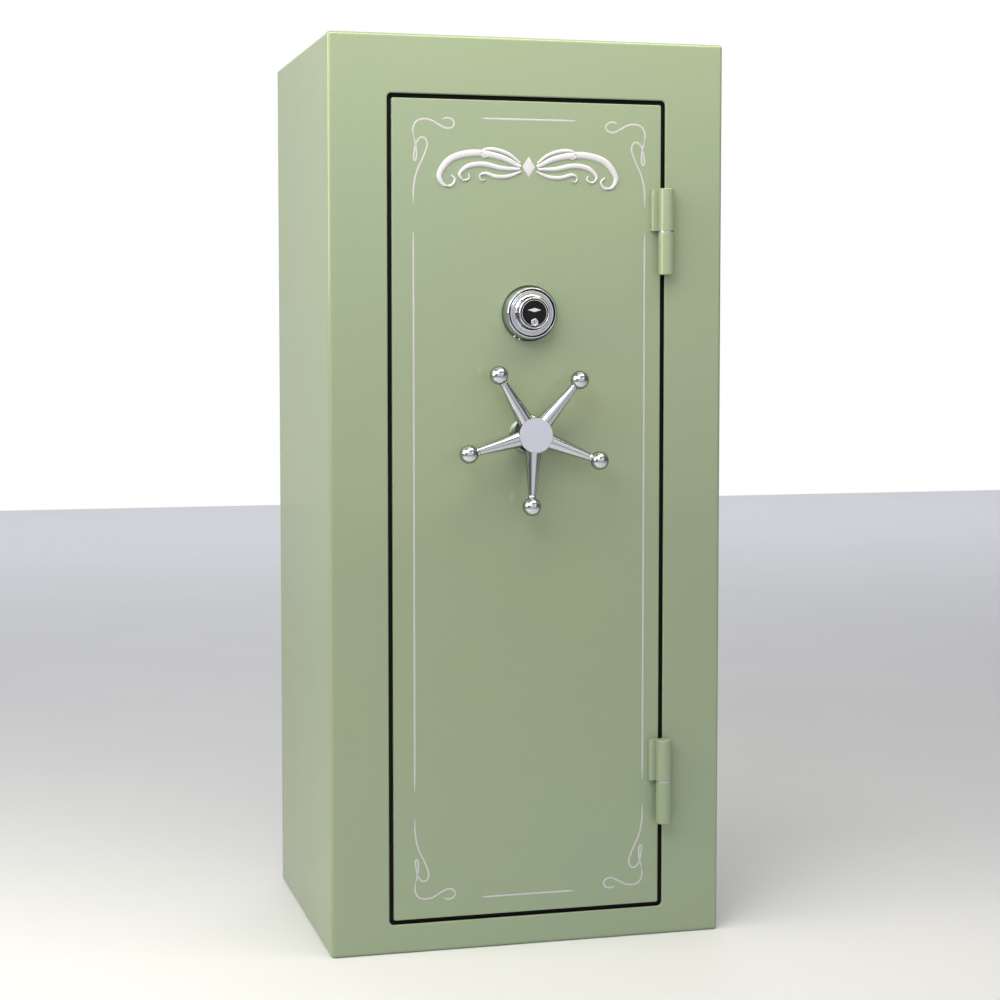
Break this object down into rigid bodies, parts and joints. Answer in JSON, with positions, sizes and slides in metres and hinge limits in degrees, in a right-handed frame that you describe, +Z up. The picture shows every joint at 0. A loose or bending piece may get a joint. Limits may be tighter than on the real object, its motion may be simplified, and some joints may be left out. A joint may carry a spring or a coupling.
{
  "type": "gun safe",
  "caption": "Upright steel gun safe with an outside-hinged door, spoked handle, combination dial, rack-driven locking bolts and a lined interior with a gun rest and shelves.",
  "frame": {"origin": "on the floor, at the centre of the four anchor holes, below the centre of the steel body", "axes": "+Z up, the door faces -Y, hinges on the +X side"},
  "size_m": [0.68, 0.587, 1.524],
  "materials": {
    "body_paint": "sage green metallic enamel with a clear coat, semi-gloss",
    "pan_paint": "black powder coat",
    "fireboard": "gypsum board",
    "carpet": "short-pile carpet on board",
    "zinc_steel": "zinc-plated steel",
    "bolt_chrome": "polished chrome",
    "turned_steel": "turned steel",
    "bronze": "machined bronze and brass",
    "lock_casting": "die-cast zinc alloy",
    "dial_black": "gloss black disc",
    "seal": "expanding heat seal, matt"
  },
  "bodies": {
    "root": {"body_wrap": "body_paint", "back_panel": "body_paint", "floor_plate": "body_paint", "side_fireboards": "fireboard", "back_fireboard": "fireboard", "top_fireboard": "fireboard", "floor_fireboard": "fireboard", "side_liners": "carpet", "back_liner": "carpet", "top_liner": "carpet", "floor_liner": "carpet", "door_jamb": "pan_paint", "body_knuckles": "body_paint", "hinge_pins": "turned_steel", "hinge_washers": "zinc_steel", "top_shelf": "carpet", "divider": "carpet", "side_shelves": "carpet", "shelf_standards": "zinc_steel", "shelf_clips": "zinc_steel", "barrel_rest": "carpet", "stock_rest": "carpet"},
    "door": {"door_plate": "body_paint", "door_knuckles": "body_paint", "door_pan": "pan_paint", "door_fireboard": "fireboard", "hard_plate": "zinc_steel", "lockwork_plate": "pan_paint", "door_trim_panel": "carpet", "trim_screws": "zinc_steel", "door_seal": "seal", "bolt_bushings": "bronze", "fixed_bolts": "bolt_chrome", "rack_guides": "zinc_steel", "shaft_bushing": "bronze", "handle_rosette": "bolt_chrome", "dial_ring": "bolt_chrome", "spindle_tube": "turned_steel", "lock_case": "lock_casting", "lock_cover": "lock_casting", "lock_screws": "zinc_steel", "door_emblem": "bolt_chrome"},
    "handle": {"handle_hub": "bolt_chrome", "handle_spokes": "bolt_chrome", "handle_balls": "bolt_chrome", "handle_shaft": "turned_steel", "shaft_nut": "zinc_steel", "drive_gear": "turned_steel"},
    "boltwork": {"locking_bolts": "bolt_chrome", "bolt_nuts": "zinc_steel", "bolt_bar": "zinc_steel", "rack_bar": "zinc_steel", "blocking_plate": "zinc_steel"},
    "dial": {"dial_knob": "bolt_chrome", "dial_face": "dial_black", "dial_spindle": "turned_steel", "wheel_pack": "bronze", "drive_cam": "bronze"},
    "key_plug": {"dial_key_plug": "turned_steel"},
    "lock_bolt_body": {"lock_bolt": "turned_steel"}
  },
  "joints": [
    {"name": "door_swing", "type": "hinge", "parent": "root", "child": "door", "pos_m": [0.23525, -0.276, 0.738], "axis": [0, 0, 1], "range_deg": [0, 170]},
    {"name": "handle_turn", "type": "hinge", "parent": "door", "child": "handle", "pos_m": [-0.002, -0.262, 0.867], "axis": [0, -1, 0], "range_deg": [0, 80]},
    {"name": "bolt_throw", "type": "slide", "parent": "door", "child": "boltwork", "axis": [-1, 0, 0], "range_m": [0, 0.03351]},
    {"name": "dial_spin", "type": "hinge", "parent": "door", "child": "dial", "pos_m": [-0.002, -0.262, 1.069], "axis": [0, -1, 0], "continuous": true},
    {"name": "key_turn", "type": "hinge", "parent": "dial", "child": "key_plug", "pos_m": [-0.002, -0.3, 1.0535], "axis": [0, -1, 0], "range_deg": [0, 90]},
    {"name": "lock_bolt_throw", "type": "slide", "parent": "door", "child": "lock_bolt_body", "axis": [0, 0, -1], "range_m": [0, 0.009]}
  ],
  "couplings": [
    {"joint": "bolt_throw", "follows": "handle_turn", "m_per_rad": 0.024}
  ]
}
